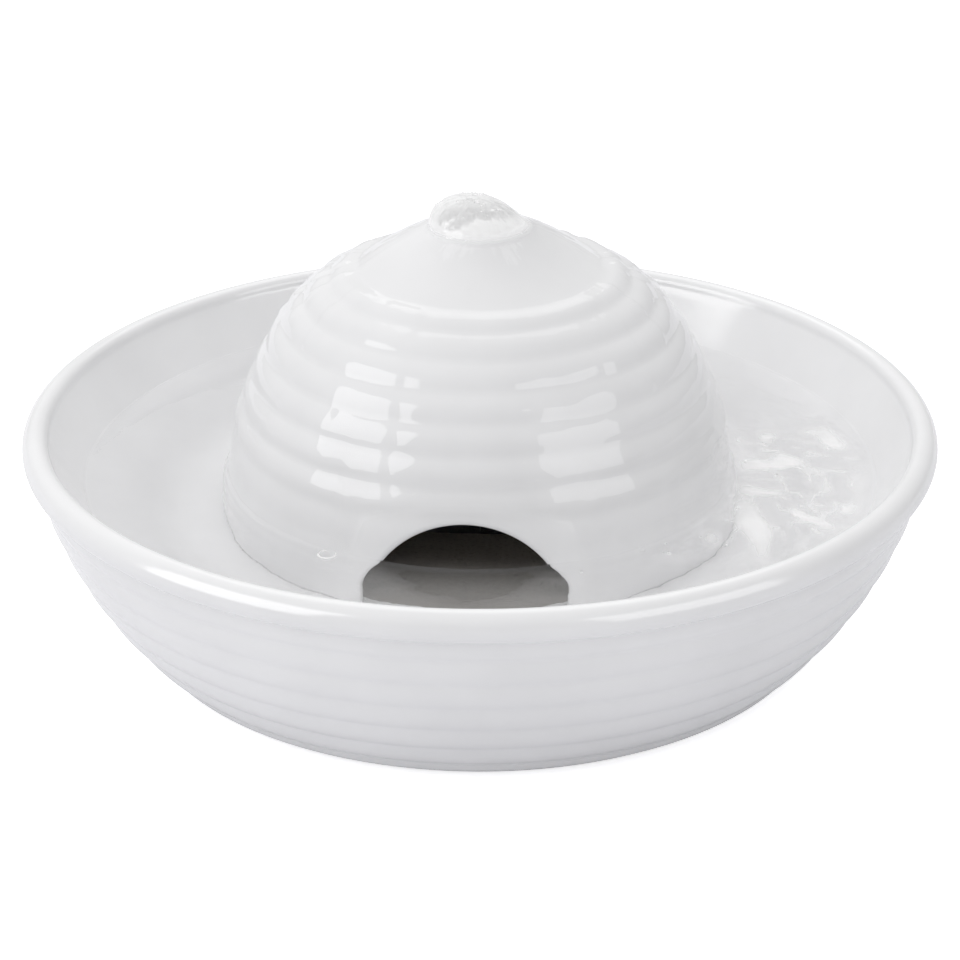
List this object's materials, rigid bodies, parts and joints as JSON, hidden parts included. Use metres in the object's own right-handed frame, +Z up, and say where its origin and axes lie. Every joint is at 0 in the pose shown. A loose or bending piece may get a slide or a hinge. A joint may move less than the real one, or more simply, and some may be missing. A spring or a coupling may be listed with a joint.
{
  "type": "pet water fountain",
  "caption": "Round white stoneware drinking bowl with a ribbed dome that hides a small pump; water wells up from the neck on top and runs back into the bowl.",
  "frame": {"origin": "centre of the underside of the bowl's foot ring, where the fountain stands", "axes": "+Z up; the dome's arch faces -Y; +X is to the right seen from the front; the pump's shaft lies along Y"},
  "size_m": [0.28, 0.28, 0.1315],
  "materials": {
    "glaze": "gloss",
    "clear_hose": "gloss",
    "silicone": "satin",
    "pump_shell": "satin",
    "steel_laminations": "satin",
    "nylon": "satin",
    "copper_wire": "gloss",
    "epoxy": "gloss",
    "black_rubber": "satin",
    "shaft_ceramic": "polished",
    "ptfe": "satin",
    "impeller_plastic": "satin",
    "ferrite": "matte",
    "foam": "matte"
  },
  "bodies": {
    "base": {"bowl": "glaze"},
    "pump": {"pump_housing": "pump_shell", "stator_core": "steel_laminations", "coil_bobbin": "nylon", "coil_winding": "copper_wire", "potting_resin": "epoxy", "cable_gland": "black_rubber", "suction_cups": "black_rubber", "volute_cover": "pump_shell", "chamber_seal": "black_rubber", "front_bush": "black_rubber", "rear_bush": "black_rubber", "front_washer": "ptfe", "rear_washer": "ptfe", "impeller_shaft": "shaft_ceramic", "outlet_tube": "clear_hose"},
    "rotor": {"impeller": "impeller_plastic", "rotor_magnet": "ferrite"},
    "strainer": {"intake_strainer": "pump_shell", "filter_sponge": "foam"},
    "slider": {"flow_slider": "pump_shell"},
    "dome": {"dome": "glaze", "outlet_seal": "silicone"}
  },
  "joints": [
    {"name": "pump_lift", "type": "slide", "parent": "base", "child": "pump", "axis": [0, 0, 1], "range_m": [0, 0.065]},
    {"name": "dome_lift", "type": "slide", "parent": "pump", "child": "dome", "axis": [0, 0, 1], "range_m": [0, 0.11]},
    {"name": "rotor_spin", "type": "hinge", "parent": "pump", "child": "rotor", "pos_m": [0, 0, 0.042], "axis": [0, 1, 0], "continuous": true},
    {"name": "strainer_pull", "type": "slide", "parent": "pump", "child": "strainer", "axis": [0, -1, 0], "range_m": [0, 0.02]},
    {"name": "flow_slide", "type": "slide", "parent": "strainer", "child": "slider", "axis": [1, 0, 0], "range_m": [0, 0.004]}
  ]
}
